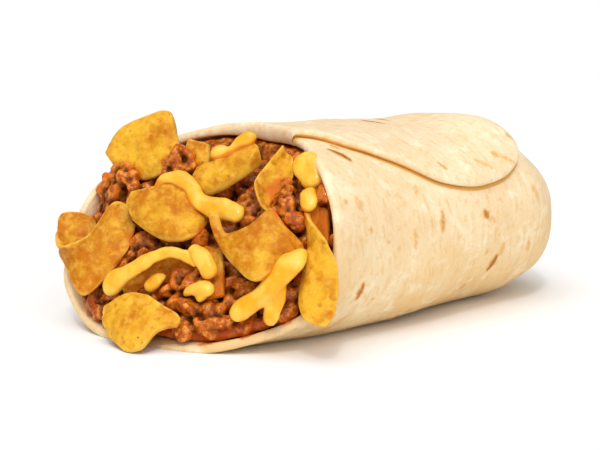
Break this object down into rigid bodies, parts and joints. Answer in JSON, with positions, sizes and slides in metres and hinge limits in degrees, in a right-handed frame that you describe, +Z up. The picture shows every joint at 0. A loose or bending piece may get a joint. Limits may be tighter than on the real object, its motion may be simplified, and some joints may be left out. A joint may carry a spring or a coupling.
{
  "type": "chili cheese wrap",
  "caption": "Flour tortilla rolled round ground beef chili, closed at one end, with corn chips and cheese sauce sticking out of the slanted open end.",
  "frame": {"origin": "on the flat underside that the wrap rests on, below the middle of the roll", "axes": "+X along the roll from the open end to the closed end, +Z up, -Y the side that the loose edge of the tortilla is folded down on"},
  "size_m": [0.1418, 0.0876, 0.055],
  "materials": {
    "tortilla": "soft matte baked flour surface with a few toasted spots",
    "corn_chip": "fried and slightly blistered, satin",
    "chili": "wet with sauce, glossy",
    "cheese_sauce": "smooth, satin to glossy"
  },
  "bodies": {
    "root": {"tortilla": "tortilla", "chili": "chili", "chip_above_rim": "corn_chip", "chip_behind": "corn_chip", "chip_upper": "corn_chip", "chip_leaf": "corn_chip", "chip_middle": "corn_chip", "chip_left": "corn_chip", "chip_right": "corn_chip", "chip_curled": "corn_chip", "chip_below_rim": "corn_chip", "chip_hollow": "corn_chip", "chip_under_strand": "corn_chip", "cheese_wave": "cheese_sauce", "cheese_arch": "cheese_sauce", "cheese_short": "cheese_sauce", "cheese_drop": "cheese_sauce", "cheese_dab": "cheese_sauce", "cheese_fork": "cheese_sauce", "cheese_top": "cheese_sauce", "cheese_corner": "cheese_sauce"}
  },
  "joints": []
}
